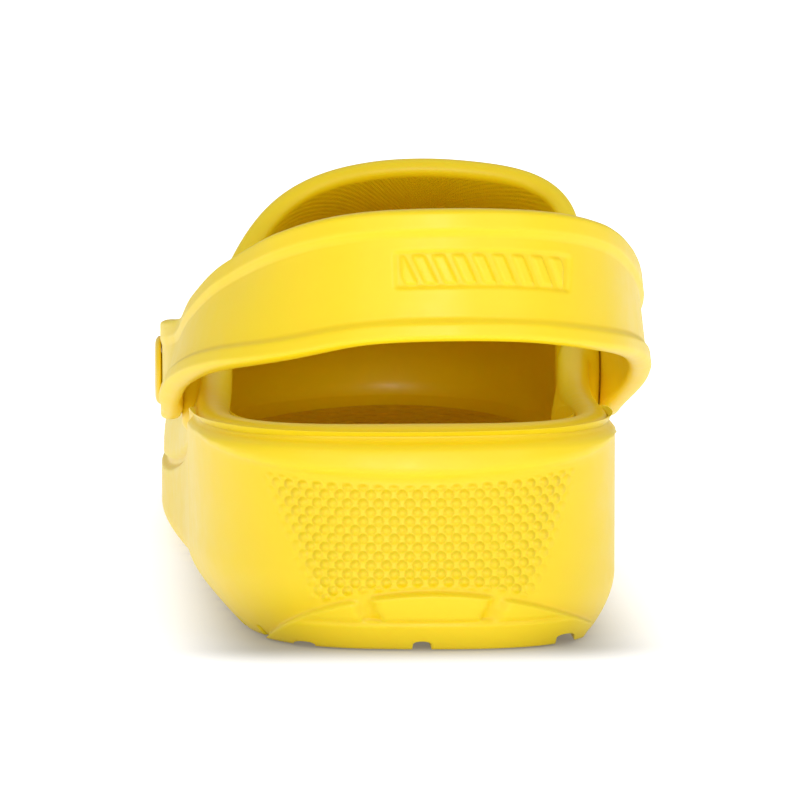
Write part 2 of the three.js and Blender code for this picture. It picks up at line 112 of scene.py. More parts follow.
# Stations round the clog, heel back first, then the medial side, the toe and the lateral side:
# plan x share, half width it is a share of (0 heel, 1 ball), y share, crease height,
# rim inset in x, rim y, rim height.
STATIONS = np.array([
    [0, 0, 0.000, 45.8, 0.0, -138.6, 48.3],
    [0.44, 0, 0.008, 45.8, 1.6, -136.3, 48.1],
    [0.76, 0, 0.044, 45.7, 3.6, -127.2, 47.8],
    [0.945, 0, 0.110, 45.5, 4.9, -110.0, 47.4],
    [0.985, 0, 0.190, 44.8, 5.2, -89.0, 47.2],
    [0.985, 0, 0.274, 42.5, 5.2, -66.0, 47.3],
    [0.982, 0, 0.357, 36.5, 4.6, -47.0, 50.0],
    [0.988, 0, 0.441, 29.5, 3.5, -31.0, 58.8],
    [0.865, 1, 0.528, 23.5, 4.0, -17.0, 71.5],
    [0.905, 1, 0.618, 19.8, 5.8, -6.0, 82.2],
    [0.955, 1, 0.715, 19.2, 12.8, 2.0, 88.6],
    [0.985, 1, 0.812, 20.5, 22.4, 6.0, 91.9],
    [0.89, 1, 0.905, 22.5, 26.5, 7.8, 93.3],
    [0.58, 1, 0.974, 23.6, 16.9, 8.4, 93.9],
    [0.15, 1, 1.000, 24.0, -0.3, 8.6, 94.0],
    [-0.28, 1, 0.974, 23.8, -17.4, 8.4, 93.7],
    [-0.645, 1, 0.913, 23.0, -30.5, 7.6, 92.8],
    [-0.865, 1, 0.819, 21.3, -34.4, 5.8, 90.8],
    [-0.94, 1, 0.719, 19.6, -29.7, 2.0, 86.6],
    [-0.932, 1, 0.622, 20.0, -21.5, -5.0, 79.3],
    [-0.888, 1, 0.528, 23.5, -12.6, -16.0, 68.3],
    [-1, 0, 0.441, 29.5, -7.6, -29.0, 57.8],
    [-1, 0, 0.357, 36.5, -6.6, -46.0, 49.8],
    [-1.01, 0, 0.274, 42.5, -6.2, -65.0, 47.3],
    [-1.01, 0, 0.190, 44.8, -5.8, -88.5, 47.2],
    [-0.958, 0, 0.110, 45.5, -5.2, -110.0, 47.4],
    [-0.76, 0, 0.044, 45.7, -3.6, -127.2, 47.8],
    [-0.44, 0, 0.008, 45.8, -1.6, -136.3, 48.1],
])

# Middle line of the strap, medial pivot to lateral pivot: x of the outer face, share of the way from
# the pivot back to the heel, and height over the pivot.
ARM_MEDIAL = PAD_MEDIAL + FIT + STRAP_THICK
ARM_LATERAL = PAD_LATERAL + FIT + STRAP_THICK
PIVOT_FROM_HEEL = PIVOT_Y - HEEL_Y
LOBE_SHARE = LOBE_RADIUS / PIVOT_FROM_HEEL
STRAP_ROUTE = np.array([
    [ARM_MEDIAL, -LOBE_SHARE, 0],
    [ARM_MEDIAL, 0, 0],
    [ARM_MEDIAL, LOBE_SHARE * 1.1, 2.6],
    [ARM_MEDIAL + 1.2, 0.30, 8.8],
    [ARM_MEDIAL + 0.6, 0.50, 16.0],
    [ARM_MEDIAL - 4.0, 0.69, 22.8],
    [41.0, 0.85, 27.7],
    [27.5, 0.962, 30.9],
    [8.5, 1.01, 32.0],
    [-12.5, 0.985, 30.9],
    [-29.0, 0.875, 26.3],
    [-ARM_LATERAL + 10.8, 0.69, 20.1],
    [-ARM_LATERAL + 4.4, 0.50, 13.2],
    [-ARM_LATERAL + 2.0, 0.30, 6.4],
    [-ARM_LATERAL, LOBE_SHARE * 1.1, 1.6],
    [-ARM_LATERAL, 0, 0],
    [-ARM_LATERAL, -LOBE_SHARE, 0],
])


# ---- small helpers --------------------------------------------------------------------------------
def smooth(value, low, high):
    """Smooth step: 0 below low, 1 above high, 3t^2 - 2t^3 between."""
    t = np.clip((value - low) / (high - low), 0, 1)
    return t * t * (3 - 2 * t)


def mix(a, b, t):
    """Straight blend from a to b."""
    return a + (b - a) * t


def unit(vectors):
    """Vectors of length one."""
    return vectors / np.maximum(np.linalg.norm(vectors, axis=-1, keepdims=True), 1e-9)


def closed_spline(values):
    """Uniform cubic B-spline round a ring whose control values are pushed out first, so that the
    curve passes through the given values."""
    def soft(ring):
        return (np.roll(ring, 1) + 4 * ring + np.roll(ring, -1)) / 6
    once = 2 * values - soft(values)
    control = once + values - soft(once)
    count = len(values)

    def at(u):
        t = np.mod(u, 1.0) * count
        k = np.floor(t).astype(int) % count
        f = t - np.floor(t)
        g = 1 - f
        a, b, c, d = (control[(k + step) % count] for step in (-1, 0, 1, 2))
        return (a * g ** 3 + b * (3 * f ** 3 - 6 * f ** 2 + 4) + c * (3 * g ** 3 - 6 * g ** 2 + 4)
                + d * f ** 3) / 6
    return at


def station_curves():
    """The spline of each station value: plan x and y, crease height, rim point and vamp share."""
    half = np.where(STATIONS[:, 1] > 0, BALL_HALF, HEEL_HALF)
    x = STATIONS[:, 0] * half
    columns = {
        "x": x,
        "y": HEEL_Y + STATIONS[:, 2] * TOTAL_LENGTH,
        "crease": STATIONS[:, 3],
        "rim_x": x - STATIONS[:, 4],
        "rim_y": STATIONS[:, 5],
        "rim_z": STATIONS[:, 6],
        "vamp": smooth(STATIONS[:, 6], 50, 90),
    }
    return {name: closed_spline(values) for name, values in columns.items()}


CURVE = station_curves()
# The frame is centred on the whole assembly, the clog's own frame on its plan outline.
pivot = frame["record"]["behaviour"]["joints"][0]["pos_m"]
cap_low, cap_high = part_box("rivet_cap_medial")
SHIFT = np.array([cap_high.x / MM - (ARM_MEDIAL + FIT + CAP_THICK), pivot[1] / MM - PIVOT_Y, 0.0])


def ground_lift(y):
    """Height of the sole over the ground: flat, then rising as a square toward the toe."""
    start = HEEL_Y + TOE_SPRING_START * TOTAL_LENGTH
    return TOE_SPRING * np.clip((y - start) / (TOTAL_LENGTH / 2 - start), 0, None) ** 2


def footbed_height(y):
    """Height of the cavity floor: heel level easing down to ball level, with half the toe spring."""
    return mix(FOOTBED_HEEL, FOOTBED_BALL, smooth(y, -95, 45)) + ground_lift(y) * 0.5


def outline(u, out):
    """Plan outline at u, moved outward by out along its own normal."""
    step = 1e-3
    tx = CURVE["x"](u + step) - CURVE["x"](u - step)
    ty = CURVE["y"](u + step) - CURVE["y"](u - step)
    size = np.hypot(tx, ty)
    return CURVE["x"](u) + ty / size * out, CURVE["y"](u) - tx / size * out


def rim_point(u):
    """Top of the rim at u."""
    return np.stack([CURVE["rim_x"](u), CURVE["rim_y"](u), CURVE["rim_z"](u)], -1)


def rim_frame(u):
    """Rim top, direction to its free edge, outward direction, half width and vamp share at u."""
    tangent = unit(rim_point(u + 2e-3) - rim_point(u - 2e-3))
    vamp = np.clip(CURVE["vamp"](u), 0, 1)
    edge = np.stack([np.zeros_like(vamp), -0.93 * vamp, 1 - 0.6 * vamp], -1)
    edge = unit(edge - tangent * np.sum(edge * tangent, -1, keepdims=True))
    out = unit(np.cross(tangent, edge))
    return rim_point(u), edge, out, mix(HEEL_LIP_HALF, VAMP_LIP_HALF, vamp), vamp


def shell(u, t, thick):
    """Upper shell: cubic Bezier from the outline above the crease, leaving upward, to the rim,
    arriving along the rim's free direction; thick puts it that far inside the outer face."""
    x, y = outline(u, -0.5 - thick)
    start = np.stack([x, y, CURVE["crease"](u) + 1.2], -1)
    top, edge, out, half, vamp = rim_frame(u)
    inside = np.where(np.asarray(thick) > 0, -1.0, 1.0)
    end = top - edge * LIP_RISE + out * (inside * half)[..., None]
    reach = np.linalg.norm(end - start, axis=-1)
    lift = np.maximum(mix(0.34, 0.3, vamp) * reach - thick * 0.5 * vamp, 0.3)
    first = start.copy()
    first[..., 2] += lift
    second = end - edge * (0.42 * reach)[..., None]
    t = np.asarray(t)[..., None]
    s = 1 - t
    return start * s ** 3 + first * (3 * s * s * t) + second * (3 * s * t * t) + end * t ** 3


# ---- mesh making ----------------------------------------------------------------------------------
def make_mesh(name, points, quads, triangles=(), corner_uv=None, attributes=None):
    """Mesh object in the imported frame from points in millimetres; faces outward, object at the origin."""
    mesh = bpy.data.meshes.new(name)
    faces = [tuple(face) for face in np.asarray(quads).tolist()]
    faces += [tuple(face) for face in np.asarray(triangles).tolist()]
    mesh.from_pydata(((points + SHIFT) * MM).tolist(), [], faces)
    if corner_uv is not None:
        layer = mesh.uv_layers.new(name="UVMap")
        layer.data.foreach_set("uv", np.asarray(corner_uv, np.float32).ravel())
    for key, values in (attributes or {}).items():
        mesh.attributes.new(key, "FLOAT", "POINT").data.foreach_set("value", np.asarray(values, np.float32))
    mesh.polygons.foreach_set("use_smooth", [True] * len(faces))
    mesh.update()
    thing = bpy.data.objects.new(name, mesh)
    bpy.context.scene.collection.objects.link(thing)
    return thing


def lathe(name, profile, side, face_x, segments=96):
    """Profile (radius, height out of the face) revolved about the pivot axis; ends closed on the axis."""
    profile = np.asarray(profile, float)
    turn = np.arange(segments) / segments * 2 * np.pi
    radius = profile[1:-1, 0][:, None]
    height = np.repeat(profile[1:-1, 1][:, None], segments, 1)
    ring = np.stack([face_x + side * height, PIVOT_Y + radius * np.cos(turn) * side,
                     PIVOT_Z + radius * np.sin(turn)], -1).reshape(-1, 3)
    ends = np.array([[face_x + side * profile[k, 1], PIVOT_Y, PIVOT_Z] for k in (0, -1)])
    rows = len(profile) - 2
    a, b = np.meshgrid(np.arange(rows - 1), np.arange(segments), indexing="ij")
    nxt = (b + 1) % segments
    quads = np.stack([a * segments + b, a * segments + nxt, (a + 1) * segments + nxt,
                      (a + 1) * segments + b], -1).reshape(-1, 4)
    k = np.arange(segments)
    first, last = rows * segments, rows * segments + 1
    top = (rows - 1) * segments
    caps = np.concatenate([np.stack([np.full(segments, first), (k + 1) % segments, k], -1),
                           np.stack([np.full(segments, last), top + k, top + (k + 1) % segments], -1)])
    return make_mesh(name, np.concatenate([ring, ends]), quads, caps)


def round_profile(points, radius=0.25, steps=4):
    """Polyline profile with each inner corner turned into a short arc-like curve (quadratic Bezier)."""
    points = np.asarray(points, float)
    out = [points[0]]
    for before, corner, after in zip(points[:-2], points[1:-1], points[2:]):
        reach = min(radius, 0.45 * np.linalg.norm(before - corner), 0.45 * np.linalg.norm(after - corner))
        enter = corner + unit(before - corner) * reach
        leave = corner + unit(after - corner) * reach
        for t in np.linspace(0, 1, steps):
            out.append(enter * (1 - t) ** 2 + corner * 2 * t * (1 - t) + leave * t * t)
    out.append(points[-1])
    return np.array(out)


# ---- clog body ------------------------------------------------------------------------------------
def around_values():
    """Ring parameters, toe first: closely spaced round the heel, wider elsewhere."""
    dense = np.linspace(-0.5, 0.5, 20001)
    x, y = outline(dense, 0)
    step = np.hypot(np.diff(x), np.diff(y))
    arc = np.concatenate([[0], np.cumsum(step)])
    arc -= np.interp(0, dense, arc)
    spacing = mix(1.02, 2.4, smooth(np.abs(arc), 62, 105))
    spacing = np.minimum(spacing, mix(1.08, 2.4, smooth(np.abs(y - PIVOT_Y), 18, 34)))
    weight = 1 / spacing
    run = np.concatenate([[0], np.cumsum((weight[1:] + weight[:-1]) / 2 * np.diff(arc))])
    count = int(round(run[-1] / 2)) * 2
    u = np.interp(np.arange(count) / count * run[-1], run, dense)
    return u, np.interp(u, dense, arc)


def wall_offset(arc, x, z, crease, ground, curl, inset, flare, heel):
    """How far the side wall stands off the outline: drawn in toward the ground, then leaning out a
    little, with the smooth band and its ridge above the dotted zone at the heel."""
    rise = np.clip((z - ground) / curl, 0, 1)
    under = -inset * (1 - rise) ** 1.8
    t = np.clip((z - ground - curl) / (crease - ground - curl), 0, 1)
    lean = -flare * np.where(rise < 1, 1 - 0.2 * rise, 0.8 * (1 - t))
    ridge = 37.6 + 3.4 * np.clip(np.abs(arc) / 46, 0, 1.4) ** 1.6
    rise = np.clip((z - ridge) / (crease - ridge), 0, 1)
    band = smooth(z, ridge - 0.7, ridge + 0.5) * (1.5 + 0.5 * np.sin(np.pi * rise ** 0.7) - 1.2 * rise)
    band = band * (1 - smooth(np.abs(arc), 44, 80))
    close = smooth(z, crease - 2.2, crease - 0.3)
    return under + lean + band * (1 - close) * 0.9 - CREASE_DEPTH * close + heel_relief(x, z, arc)


def heel_relief(x, z, arc):
    """Raised panels low on the heel: an arch-topped field cut by two slots that lean apart, with a
    trapezoid block between them, over a lower row of lugs."""
    reach = 1 - smooth(np.abs(arc), 46, 54)
    arch = 12.9 - 0.0068 * (x - 3.0) ** 2
    field = 1 - smooth(z, arch - 0.5, arch + 0.2)
    slots = slot_mask(x + (z - 9) * 0.39, -10.7, 2.0) + slot_mask(x - (z - 9) * 0.45, 16.1, 1.9)
    slots = slots * smooth(z, 6.3, 6.9)
    middle = (1 - smooth(np.abs(x - 2.9) - (z - 9) * 0.42, 11.2, 12.0)) * smooth(z, 6.6, 7.4)
    lugs = 1 - smooth(z, 5.5, 6.1)
    seam = slot_mask(z, 6.2, 0.35) * (1 - smooth(np.abs(x - 3.1), 27, 31))
    level = 1.5 * field * (1 - np.clip(slots, 0, 1)) + 0.4 * middle * field - 0.5 * seam * field
    return reach * (level + 0.25 * lugs * field)


def slot_mask(x, middle, half):
    """1 inside a slot of that half width, easing to 0 over a millimetre."""
    return 1 - smooth(np.abs(x - middle), half - 0.5, half + 0.5)


def body_rows(u, arc):
    """Grid of body points: columns round the clog, rows from the underside edge, up the wall, over the
    rim and down inside to the footbed. Also gives the number of the first row on the inner shell."""
    x0, y0 = outline(u, 0)
    ground = ground_lift(y0)
    crease = CURVE["crease"](u)
    heel = 1 - smooth(y0, -110, -20)
    lateral = smooth(-CURVE["x"](u), -40, 40) * 2 - 1
    curl = mix(FORE_CURL, HEEL_CURL + 1.4 * TUCK_SKEW * lateral, heel)
    inset = mix(FORE_TUCK, HEEL_TUCK + TUCK_SKEW * lateral, heel)
    flare = HEEL_FLARE * heel * smooth(-CURVE["x"](u), 10, 45)
    rows = []

    def wall(z):
        off = wall_offset(arc, x0, z, crease, ground, curl, inset, flare, heel)
        x, y = outline(u, off)
        rows.append(np.stack([x, y, z], -1))

    for t in np.linspace(0, 1, 34):
        wall(ground + curl * t)
    for t in np.linspace(0, 1, 37)[1:]:
        wall(mix(ground + curl, crease - 0.3, t))
    for rise in (0.3, 0.8):
        x, y = outline(u, np.full_like(u, -CREASE_DEPTH))
        rows.append(np.stack([x, y, crease + rise], -1))
    outer_first = len(rows)
    shell_t = shell_steps()
    grid_u = np.repeat(u[:, None], len(shell_t), 1)
    grid_t = np.repeat(shell_t[None, :], len(u), 0)
    outer = shell(grid_u, grid_t, np.zeros_like(grid_u))
    thick = mix(SIDE_WALL - 0.5, VAMP_WALL, smooth(CURVE["rim_z"](grid_u), 50, 62))
    inner = shell(grid_u, grid_t, thick)
    rows += [outer[:, j] for j in range(len(shell_t))]
    top, edge, out, half, vamp = rim_frame(u)
    for angle in np.linspace(0, np.pi, 13)[1:-1]:
        bulge = 1 + 0.12 * vamp * math.sin(angle)
        rows.append(top - edge * LIP_RISE + out * (half * math.cos(angle) * bulge)[:, None]
                    + edge * LIP_RISE * math.sin(angle))
    inner_first = len(rows)
    rows += [inner[:, j] for j in range(len(shell_t) - 1, -1, -1)]
    inner_end = len(rows)
    floor = footbed_height(y0)
    wall_thick = mix(SIDE_WALL - 0.5, VAMP_WALL, smooth(CURVE["rim_z"](u), 50, 62)) + 0.5
    start_z = crease + 1.2
    for t in np.linspace(0, 1, 8)[1:]:
        x, y = outline(u, -mix(wall_thick, SIDE_WALL, t))
        rows.append(np.stack([x, y, mix(start_z, floor + 3, t)], -1))
    for angle in np.linspace(0, np.pi / 2, 5)[1:]:
        x, y = outline(u, np.full_like(u, -SIDE_WALL - 3 * (1 - math.cos(angle))))
        rows.append(np.stack([x, y, floor + 3 * (1 - math.sin(angle))], -1))
    grid = np.stack(rows, 1)
    raise_pads(grid, outer_first, inner_first, inner_end)
    return grid, inner_first


def raise_pads(grid, outer_first, inner_first, inner_end):
    """Flat round pads that the strap ends turn on: near the pivot the wall is brought to the pad face
    outside and to its own flat seat inside, easing back to the wall over a few millimetres."""
    far = np.hypot(grid[..., 1] - PIVOT_Y, grid[..., 2] - PIVOT_Z)
    rows = np.arange(grid.shape[1])[None, :]
    for side, face in ((1, PAD_MEDIAL), (-1, PAD_LATERAL)):
        mine = grid[..., 0] * side > 0
        outside = mine & (rows < inner_first - 5)
        blend = (1 - smooth(far, PAD_RADIUS - 0.4, PAD_RADIUS + 2.4)) * outside
        grid[..., 0] += (side * face - grid[..., 0]) * blend
        inside = mine & (rows >= inner_first - 5) & (rows < inner_end)
        blend = (1 - smooth(far, BACKING_RADIUS + 1.5, BACKING_RADIUS + 5.5)) * inside
        grid[..., 0] += (side * (face - PAD_THICK) - grid[..., 0]) * blend


def shell_steps():
    """Steps along the upper shell, closer together where the vents are."""
    dense = np.linspace(0, 1, 2001)
    weight = 1 + 1.1 * (smooth(dense, 0.2, 0.32) - smooth(dense, 0.74, 0.86))
    run = np.concatenate([[0], np.cumsum((weight[1:] + weight[:-1]) / 2)])
    return np.interp(np.linspace(0, run[-1], 50), run, dense)


def stadium(fraction, half_length, half_width):
    """Point on a slot outline at a share of its length, starting at the middle of the +a end."""
    straight = half_length - half_width
    arc = math.pi * half_width / 2
    total = 4 * straight + 4 * arc
    d = np.mod(fraction, 1.0) * total
    a = np.zeros_like(d)
    b = np.zeros_like(d)
    turn = d / half_width
    a1, b1 = straight + half_width * np.cos(turn), half_width * np.sin(turn)
    a2, b2 = straight - (d - arc), np.full_like(d, half_width)
    turn3 = math.pi / 2 + (d - arc - 2 * straight) / half_width
    a3, b3 = -straight + half_width * np.cos(turn3), half_width * np.sin(turn3)
    a4, b4 = -straight + (d - 3 * arc - 2 * straight), np.full_like(d, -half_width)
    turn5 = -math.pi / 2 + (d - 3 * arc - 4 * straight) / half_width
    a5, b5 = straight + half_width * np.cos(turn5), half_width * np.sin(turn5)
    cuts = [d < arc, d < arc + 2 * straight, d < 3 * arc + 2 * straight, d < 3 * arc + 4 * straight]
    a = np.select(cuts, [a1, a2, a3, a4], a5)
    b = np.select(cuts, [b1, b2, b3, b4], b5)
    return a, b


def vent_slots():
    """Cutter for the vents: round-ended slots carried straight through the vamp wall, each turned by
    the slant, tipped toward the toe and leaned out to its own side."""
    a, b = stadium(np.arange(120) / 120, VENT_LENGTH / 2, VENT_WIDTH / 2)
    ring = np.stack([a, b, np.zeros_like(a)], -1)
    solids = []
    for side in (1, -1):
        for index in range(VENT_PAIRS):
            turn = Matrix.Rotation(math.radians(32 * side), 3, "Y")
            turn = turn @ Matrix.Rotation(math.radians(-24 - 6 * index), 3, "X")
            turn = np.array(turn @ Matrix.Rotation(math.radians(-VENT_SLANT * side), 3, "Z"))
            centre = [side * (VENT_ASIDE - index) + VENT_MIDDLE, HEEL_Y + VENT_FIRST + index * VENT_PITCH, 66 - index * 9]
            solids.append(swept(np.stack([(ring + [0, 0, depth]) @ turn.T + centre for depth in (-22, 22)])))
    return joined("vent_slots", solids)


def clog_body():
    """The body skin: the ring grid, its underside and footbed zipped across, then the vents, rivet
    holes and tread grooves cut."""
    u, arc = around_values()
    grid, inner_first = body_rows(u, arc)
    columns, rows = grid.shape[:2]
    ids = np.arange(columns * rows).reshape(columns, rows)
    a = ids
    b = np.roll(ids, -1, 0)
    quads = np.stack([a[:, :-1], b[:, :-1], b[:, 1:], a[:, 1:]], -1)
    length = np.concatenate([np.zeros((columns, 1)), np.cumsum(np.linalg.norm(np.diff(grid, axis=1), axis=-1), 1)], 1)
    arc_end = np.append(arc[1:], arc[0] + total_arc())
    uv_a = np.stack([np.repeat(arc[:, None], rows, 1), length], -1)
    uv_b = np.stack([np.repeat(arc_end[:, None], rows, 1), np.roll(length, -1, 0)], -1)
    uv = np.stack([uv_a[:, :-1], uv_b[:, :-1], uv_b[:, 1:], uv_a[:, 1:]], 2)
    faces = quads.reshape(-1, 4)
    corner_uv = uv.reshape(-1, 2)
    under, under_ends = zip_across(ids[:, 0], True)
    floor, floor_ends = zip_across(ids[:, -1], False)
    points = grid.reshape(-1, 3)
    plain = np.concatenate([under.ravel(), floor.ravel(), under_ends.ravel(), floor_ends.ravel()])
    inside = np.zeros(len(points))
    inside[ids[:, inner_first:].ravel()] = 1
    body = make_mesh("moulded_body", points, np.concatenate([faces, under, floor]),
                     np.concatenate([under_ends, floor_ends]),
                     np.concatenate([corner_uv, points[plain][:, :2] + 500]) * MM, {"inside": inside})
    cut_away(body, [vent_slots(), pivot_bores(), cross_grooves(), heel_grooves()])
    return body


def total_arc():
    """Length of the plan outline."""
    x, y = outline(np.linspace(0, 1, 20001), 0)
    return float(np.sum(np.hypot(np.diff(x), np.diff(y))))


def zip_across(ring, downward):
    """Fills a ring by joining column i to column n - i across the clog: quads and two end triangles."""
    n = len(ring)
    half = n // 2
    i = np.arange(1, half - 1)
    quads = np.stack([ring[i], ring[i + 1], ring[n - i - 1], ring[n - i]], -1)
    ends = np.array([[ring[0], ring[1], ring[n - 1]], [ring[half - 1], ring[half], ring[half + 1]]])
    return (quads[:, ::-1], ends[:, ::-1]) if downward else (quads, ends)


def swept(sections):
    """Closed skin over a run of section loops (count, points, 3): side faces, and at each end a fan
    from the middle of the loop."""
    count, n = sections.shape[:2]
    ids = np.arange(count * n).reshape(count, n)
    a, b = ids, np.roll(ids, -1, 1)
    quads = np.stack([a[:-1], b[:-1], b[1:], a[1:]], -1).reshape(-1, 4)
    first = np.stack([np.full(n, count * n), b[0], a[0]], -1)
    last = np.stack([np.full(n, count * n + 1), a[-1], b[-1]], -1)
    points = np.concatenate([sections.reshape(-1, 3), sections[[0, -1]].mean(1)])
    return points, quads, np.concatenate([first, last])


def joined(name, solids):
    """One mesh object from several swept solids."""
    points, quads, triangles, count = [], [], [], 0
    for p, q, t in solids:
        if enclosed(p, q, t) < 0:
            q, t = q[:, ::-1], t[:, ::-1]
        points.append(p)
        quads.append(q + count)
        triangles.append(t + count)
        count += len(p)
    return make_mesh(name, np.concatenate(points), np.concatenate(quads), np.concatenate(triangles))


def enclosed(points, quads, triangles):
    """Signed volume inside a closed skin."""
    faces = np.concatenate([quads[:, :3], quads[:, [0, 2, 3]], triangles])
    a, b, c = (points[faces[:, k]] for k in range(3))
    return float(np.sum(a * np.cross(b, c)) / 6)


def bar_between(radius, from_x, to_x, segments=64):
    """Round bar along X at the pivot."""
    turn = np.arange(segments) / segments * 2 * np.pi
    ring = np.stack([np.zeros(segments), PIVOT_Y + radius * np.cos(turn), PIVOT_Z + radius * np.sin(turn)], -1)
    sections = np.stack([ring + [x, 0, 0] for x in (min(from_x, to_x), max(from_x, to_x))])
    return swept(sections)


def pivot_bores():
    """Cutter for the two rivet holes."""
    return joined("pivot_bores", [bar_between(POST_RADIUS + FIT, s * 30, s * 70) for s in (1, -1)])


def groove_section(half_width, depth):
    """Section across a groove: tapering sides and softly rounded floor, as (sideways, up) points."""
    turn = np.linspace(0, np.pi, 9)
    floor = np.stack([half_width * 0.8 * np.cos(turn), depth - 0.7 + 0.7 * np.sin(turn)], -1)
    return np.concatenate([[[half_width * 1.15, -6.0]], floor, [[-half_width * 1.15, -6.0]]])


def cross_grooves():
    """Cutter for the tread grooves: shallow waves across the sole, one pitch left out under the ball."""
    x = np.linspace(-85, 85, 120)
    solids = []
    for index in range(GROOVE_COUNT):
        if index == FLAT_GROOVE:
            continue
        y = HEEL_Y + GROOVE_FIRST + index * GROOVE_PITCH + 1.6 * np.cos(2 * np.pi * (x - 2) / 27)
        shape = groove_section(GROOVE_WIDTH / 2, GROOVE_DEPTH)
        sections = np.stack([np.repeat(x[:, None], len(shape), 1), y[:, None] + shape[None, :, 0],
                             ground_lift(y)[:, None] + shape[None, :, 1]], -1)
        solids.append(swept(sections))
    return joined("cross_grooves", solids)


def heel_grooves():
    """Cutter for the three lengthwise grooves that open at the back of the heel."""
    solids = []
    for middle, half, depth in ((-23.5, 2.8, 0.9), (1.2, 2.4, 1.9), (32.5, 2.6, 2.1)):
        y = np.linspace(-160, HEEL_Y + GROOVE_FIRST, 8)
        shape = groove_section(half, depth)
        sections = np.stack([middle - np.repeat(shape[None, :, 0], len(y), 0), np.repeat(y[:, None], len(shape), 1),
                             np.repeat(shape[None, :, 1], len(y), 0)], -1)
        solids.append(swept(sections))
    return joined("heel_grooves", solids)


def cut_away(piece, cutters):
    """Subtracts each cutter from the piece for good, and removes the cutters."""
    for cutter in cutters:
        cut = piece.modifiers.new("cut", "BOOLEAN")
        cut.operation = "DIFFERENCE"
        cut.solver = "EXACT"
        cut.object = cutter
        graph = bpy.context.evaluated_depsgraph_get()
        mesh = bpy.data.meshes.new_from_object(piece.evaluated_get(graph))
        piece.modifiers.clear()
        old = piece.data
        piece.data = mesh
        bpy.data.meshes.remove(old)
        used = cutter.data
        bpy.data.objects.remove(cutter)
        bpy.data.meshes.remove(used)
    piece.data.name = piece.name


# ---- insole ---------------------------------------------------------------------------------------
def loose_insole():
    """Foam insole: the cavity outline drawn in by a margin, rounded edges, a shallow dished top, and
    rows reaching in to the middle so that its surface can carry a texture."""
    u = np.linspace(-0.5, 0.5, 360, endpoint=False)
    edge = -SIDE_WALL - INSOLE_MARGIN
    x0, y0 = outline(u, edge)
    base = footbed_height(y0) + FIT
    rows = []
    for out, z in ((-3.2, 0.0), (-1.6, 0.7), (-0.6, 1.9), (-0.1, 3.0), (0.0, 3.7), (-0.3, 4.2), (-1.0, 4.5), (-2.4, 4.42)):
        x, y = outline(u, np.full_like(u, edge + out))
        rows.append(np.stack([x, y, base + z], -1))
    spine_x = np.interp(y0, [-120, 40, 120], [-1.0, 1.0, 6.0])
    spine = np.stack([spine_x, np.clip(y0, -104, 104)], -1)
    rim = rows[-1]
    for t in np.linspace(0, 0.96, 34)[1:]:
        flat = mix(rim[:, :2], spine, t)
        dish = 0.9 * smooth(t, 0, 0.5) * (1 - smooth(flat[:, 1], -70, -20))
        z = footbed_height(flat[:, 1]) + FIT + 4.4 - dish
        rows.append(np.concatenate([flat, z[:, None]], 1))
    grid = np.stack(rows, 1)
    columns, count = grid.shape[:2]
    ids = np.arange(columns * count).reshape(columns, count)
    a, b = ids, np.roll(ids, -1, 0)
    quads = np.stack([a[:, :-1], b[:, :-1], b[:, 1:], a[:, 1:]], -1).reshape(-1, 4)
    under, under_ends = zip_across(ids[:, 0], True)
    top, top_ends = zip_across(ids[:, -1], False)
    points = grid.reshape(-1, 3)
    faces = np.concatenate([quads, under, top])
    ends = np.concatenate([under_ends, top_ends])
    corner = np.concatenate([faces.ravel(), ends.ravel()])
    return make_mesh("foam_insole", points, faces, ends, points[corner][:, :2] * MM)


